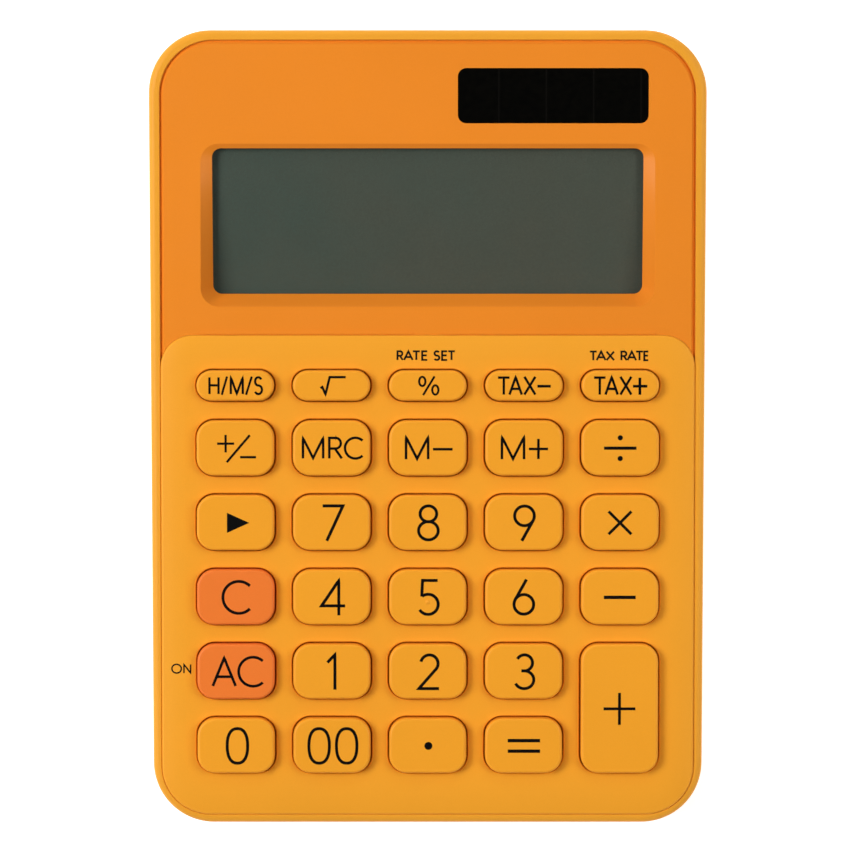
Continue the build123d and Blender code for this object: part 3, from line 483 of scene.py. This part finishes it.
SIGNS = {
    "hms": (
        letter("H", -5.05, -3.35, -1.57, 1.57, 0.30)
        + stroke(0.28, [(-2.75, -1.72), (-1.75, 1.72)])
        + letter("M", -1.05, 1.2, -1.57, 1.57, 0.30)
        + stroke(0.28, [(1.8, -1.72), (2.9, 1.72)])
        + letter("S", 3.4, 4.85, -1.57, 1.57, 0.30)
    ),
    "square_root": stroke(0.31, [(-2.25, -0.45), (-1.9, -0.25), (-1.3, -1.65), (-0.5, 1.6), (2.5, 1.6)]),
    "percent": (
        ring(0.28, oval(-1.15, 0.8, 0.58, 0.86)) + ring(0.28, oval(1.3, -0.8, 0.58, 0.86))
        + stroke(0.28, [(-1.0, -1.78), (1.15, 1.75)])
    ),
    "tax_minus": (
        letter("T", -4.95, -2.8, -1.68, 1.52, 0.32) + letter("A", -2.8, -0.5, -1.68, 1.60, 0.32)
        + letter("X", 0.0, 2.05, -1.68, 1.68, 0.32) + bar(0.36, 2.45, 4.95, -0.1)
    ),
    "tax_plus": (
        letter("T", -4.95, -2.8, -1.68, 1.52, 0.32) + letter("A", -2.8, -0.5, -1.68, 1.60, 0.32)
        + letter("X", 0.0, 2.05, -1.68, 1.68, 0.32) + bar(0.36, 2.35, 5.05, -0.1)
        + upright(0.36, 3.65, -1.7, 1.5)
    ),
    "sign_change": (
        bar(0.31, -3.65, -0.45, 0.85) + upright(0.31, -2.05, -0.8, 2.5)
        + stroke(0.31, [(-1.85, -2.65), (2.5, 2.45)]) + bar(0.31, 0.65, 3.65, -1.7)
    ),
    "mrc": (
        letter("M", -5.55, -1.75, -1.93, 1.93, 0.33) + letter("R", -0.6, 1.75, -1.93, 1.93, 0.33)
        + letter("C", 2.35, 5.85, -1.95, 1.95, 0.33)
    ),
    "memory_minus": memory(bar(0.34, 0.85, 4.55, -0.2)),
    "memory_plus": memory(bar(0.34, 0.85, 4.45, -0.15) + upright(0.34, 2.65, -2.05, 1.75)),
    "divide": (
        bar(0.42, -3.05, 3.05, 0.0)
        + [(0, oval(0, side * 1.95, 0.49, 0.49), True) for side in (1, -1)]
    ),
    "multiply": stroke(0.38, [(-2.15, -2.15), (2.15, 2.15)], [(-2.15, 2.15), (2.15, -2.15)]),
    "minus": bar(0.45, -3.0, 3.0, 0.0),
    "equals": bar(0.45, -3.05, 3.05, 1.0) + bar(0.45, -3.05, 3.05, -1.0),
    "plus": bar(0.38, -3.0, 3.0, 0.0) + upright(0.38, 0.0, -3.03, 3.03),
    "point": [(0, oval(0.0, 0.0, 0.75, 0.75), True)],
    "backspace": [(0, [(-1.85, 1.91), (-1.85, -1.91), (2.35, 0.0)], True)],
    "clear": stroke(0.38, arc(0.35, 0.0, 3.0, 3.02, 46, 314)),
    "all_clear": (
        letter("A", -4.6, -0.3, -2.7, 2.6, 0.36) + stroke(0.36, arc(3.0, 0.0, 2.72, 2.75, 48, 312))
    ),
}
LEGENDS = {**FIGURES, **SIGNS}
LEGEND_SHIFT = 0.12         # the printing sits a little right of the keys' middles
PRINT_SHRINK = 0.004        # and is this much narrower than the keypad

CAP = 1.63                  # height of a small label's middle lines
LABEL_STROKE = 0.25


def word(text, cells, width):
    """Letters one after another, each with its own left and right edge."""
    strokes = []
    for name, (left, right) in zip(text, cells):
        strokes += letter(name, left, right, -CAP / 2, CAP / 2, width)
    return strokes


# Each label: the key that it stands by, its place from that key's middle, and its strokes
LABELS = {
    "label_rate_set": ("key_percent", (-0.3, 5.6), word(
        "RATESET",
        [(-5.4, -4.4), (-4.15, -2.55), (-2.5, -1.2), (-0.75, 0.2), (1.5, 2.5), (3.0, 3.95), (4.15, 5.4)],
        LABEL_STROKE,
    )),
    "label_tax_rate": ("key_tax_plus", (-0.2, 5.55), word(
        "TAXRATE",
        [(-5.5, -4.2), (-4.2, -2.55), (-2.35, -0.95), (0.45, 1.45), (1.6, 3.2), (3.2, 4.5), (4.75, 5.5)],
        LABEL_STROKE,
    )),
    "label_on": ("key_all_clear", (-10.5, 0.35), (
        letter("O", -1.7, 0.1, -0.83, 0.83, 0.2) + letter("N", 0.6, 1.85, -0.83, 0.83, 0.2)
    )),
}

# ---------------------------------------------------------------- legend meshes
INK_SPREAD = 1.43           # printed width of a stroke, as a multiple of its drawn width
INK_RISE = 0.012            # height of the ink over the surface
INK_ROOT = 0.006            # how far its sides reach below it
INK_STEP = 0.0012           # each later stroke lies this much higher, so tops never coincide
MITRE_LIMIT = 2.2
LONGEST = 0.45              # longest straight piece of a stroke, so that it follows a curved top


def divided(points, closed):
    """The same line with its long pieces cut into short ones."""
    ring_points = points + points[:1] if closed else points
    result = []
    for start, end in zip(ring_points, ring_points[1:]):
        pieces = max(1, math.ceil(math.dist(start, end) / LONGEST))
        for piece in range(pieces):
            part = piece / pieces
            result.append((start[0] + (end[0] - start[0]) * part, start[1] + (end[1] - start[1]) * part))
    return result if closed else result + [points[-1]]


def stroke_sides(points, width, closed):
    """Left and right edge of a stroke, mitred at its corners."""
    count = len(points)
    left, right = [], []
    for index, point in enumerate(points):
        middle = Vector(point)
        before = Vector(points[index - 1]) if closed or index else None
        after = Vector(points[(index + 1) % count]) if closed or index < count - 1 else None
        into = (middle - before).normalized() if before else (after - middle).normalized()
        out = (after - middle).normalized() if after else into
        normal_in = Vector((-into.y, into.x))
        normal_out = Vector((-out.y, out.x))
        mitre = normal_in + normal_out
        if mitre.length < 1e-6:
            mitre = normal_in
        mitre.normalize()
        reach = min(MITRE_LIMIT, 1 / max(0.2, mitre.dot(normal_in))) * width / 2
        left.append(middle + mitre * reach)
        right.append(middle - mitre * reach)
    return left, right


def ink_piece(name, strokes, centre, surface, body, material):
    """One closed mesh for a legend, printed on the surface below it."""
    mesh = bmesh.new()

    def raised(point, height):
        u, v = centre[0] + point[0] * MM, centre[1] + point[1] * MM
        return mesh.verts.new(face_point(u, v, surface(u, v) + height * MM))

    for order, (width, points, closed) in enumerate(strokes):
        rise = INK_RISE + order * INK_STEP
        if width:
            line = divided(points, closed)
            left, right = stroke_sides(line, width * INK_SPREAD, closed)
            loops = [
                [raised(point, level) for point in side]
                for side, level in ((left, rise), (right, rise), (right, -INK_ROOT), (left, -INK_ROOT))
            ]
            spans = len(line) if closed else len(line) - 1
            for index in range(spans):
                following = (index + 1) % len(line)
                for first, second in zip(loops, loops[1:] + loops[:1]):
                    mesh.faces.new((first[index], second[index], second[following], first[following]))
            if not closed:
                mesh.faces.new([loop[0] for loop in reversed(loops)])
                mesh.faces.new([loop[-1] for loop in loops])
        else:
            top = [raised(point, rise) for point in points]
            base = [raised(point, -INK_ROOT) for point in points]
            mesh.faces.new(top)
            mesh.faces.new(list(reversed(base)))
            for index in range(len(points)):
                following = (index + 1) % len(points)
                mesh.faces.new((base[index], base[following], top[following], top[index]))
    bmesh.ops.recalc_face_normals(mesh, faces=mesh.faces)
    data = bpy.data.meshes.new(name)
    mesh.to_mesh(data)
    mesh.free()
    data.materials.append(material)
    piece = bpy.data.objects.new(name, data)
    bpy.context.scene.collection.objects.link(piece)
    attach(piece, body)
    return piece


KEY_LEVEL = face_box("key_1")[2][1]


def flat_top(u, v):
    """The keys' tops all lie in one plane."""
    return KEY_LEVEL


for key_name, strokes in LEGENDS.items():
    node = "key_" + key_name
    box = face_box(node)
    middle = (sum(box[0]) / 2 * (1 - PRINT_SHRINK) + LEGEND_SHIFT * MM, sum(box[1]) / 2)
    ink_piece("legend_" + key_name, strokes, middle, flat_top, node, LEGEND_INK)

plate = NODES["keypad_plate"].data
plate_tree = BVHTree.FromPolygons(
    [vertex.co for vertex in plate.vertices], [tuple(face.vertices) for face in plate.polygons]
)


def slab_top(u, v):
    """Height of the slab's rolled-off top under a point of a label."""
    start = face_point(u, v, KEY_LEVEL + 5 * MM)
    hit = plate_tree.ray_cast(start, -FACE_W)[0]
    return hit.dot(FACE_W)


for label_name, (node, (right, up), strokes) in LABELS.items():
    box = face_box(node)
    place = (sum(box[0]) / 2 + right * MM, sum(box[1]) / 2 + up * MM)
    ink_piece(label_name, strokes, place, slab_top, "case", LABEL_INK)


# ---------------------------------------------------------------- stage
FLOOR_HALF = 15.0
FLOOR_GLOW = 0.68           # the floor's own light, which keeps it white round the object


def add_floor():
    """A plain white table, bright enough that shadows stay faint."""
    corners = [(-FLOOR_HALF, -FLOOR_HALF, 0), (FLOOR_HALF, -FLOOR_HALF, 0), (FLOOR_HALF, FLOOR_HALF, 0),
               (-FLOOR_HALF, FLOOR_HALF, 0)]
    mesh = bpy.data.meshes.new("floor")
    mesh.from_pydata(corners, [], [(0, 1, 2, 3)])
    floor = bpy.data.objects.new("floor", mesh)
    bpy.context.scene.collection.objects.link(floor)
    make = Maker("floor_paper")
    make.colour(make.blend(make.noise(25.0), (0.80, 0.80, 0.80), (0.83, 0.83, 0.83)))
    make.constant(Roughness=0.9, Specular_IOR_Level=0.1, Emission_Strength=FLOOR_GLOW)
    make.shader.inputs["Emission Color"].default_value = (1.0, 1.0, 1.0, 1.0)
    mesh.materials.append(make.material)


HORIZON = 1.05              # brightness of the surroundings near the horizon
OVERHEAD = 0.05             # and overhead, where the camera is
DIMMING = (0.03, 0.28)      # heights between which one turns into the other


def add_world():
    """White surroundings, dimmer overhead."""
    world = bpy.data.worlds.new("studio")
    world.use_nodes = True
    tree = world.node_tree
    place = tree.nodes.new("ShaderNodeTexCoord")
    split = tree.nodes.new("ShaderNodeSeparateXYZ")
    tree.links.new(place.outputs["Generated"], split.inputs["Vector"])

    dimming = tree.nodes.new("ShaderNodeMapRange")
    tree.links.new(split.outputs["Z"], dimming.inputs["Value"])
    dimming.inputs["From Min"].default_value = DIMMING[0]
    dimming.inputs["From Max"].default_value = DIMMING[1]
    dimming.inputs["To Min"].default_value = HORIZON
    dimming.inputs["To Max"].default_value = OVERHEAD
    background = tree.nodes["Background"]
    background.inputs["Color"].default_value = (1.0, 1.0, 1.0, 1.0)
    tree.links.new(dimming.outputs["Result"], background.inputs["Strength"])
    bpy.context.scene.world = world


def add_softbox(name, place, power, width, height):
    """A rectangular soft light aimed at the object."""
    data = bpy.data.lights.new(name, "AREA")
    data.shape = "RECTANGLE"
    data.size = width
    data.size_y = height
    data.energy = power
    lamp = bpy.data.objects.new(name, data)
    lamp.location = place
    lamp.rotation_mode = "QUATERNION"
    lamp.rotation_quaternion = (-Vector(place)).to_track_quat("-Z", "Y")
    bpy.context.scene.collection.objects.link(lamp)


add_floor()
add_world()
add_softbox("left_light", (-0.85, 0.10, 0.85), 11.8, 0.7, 0.5)
add_softbox("right_light", (0.85, 0.10, 0.85), 5.9, 0.7, 0.5)
add_softbox("back_light", (0.0, 0.95, 0.80), 2.0, 0.8, 0.4)
bpy.context.scene.view_settings.view_transform = "Standard"
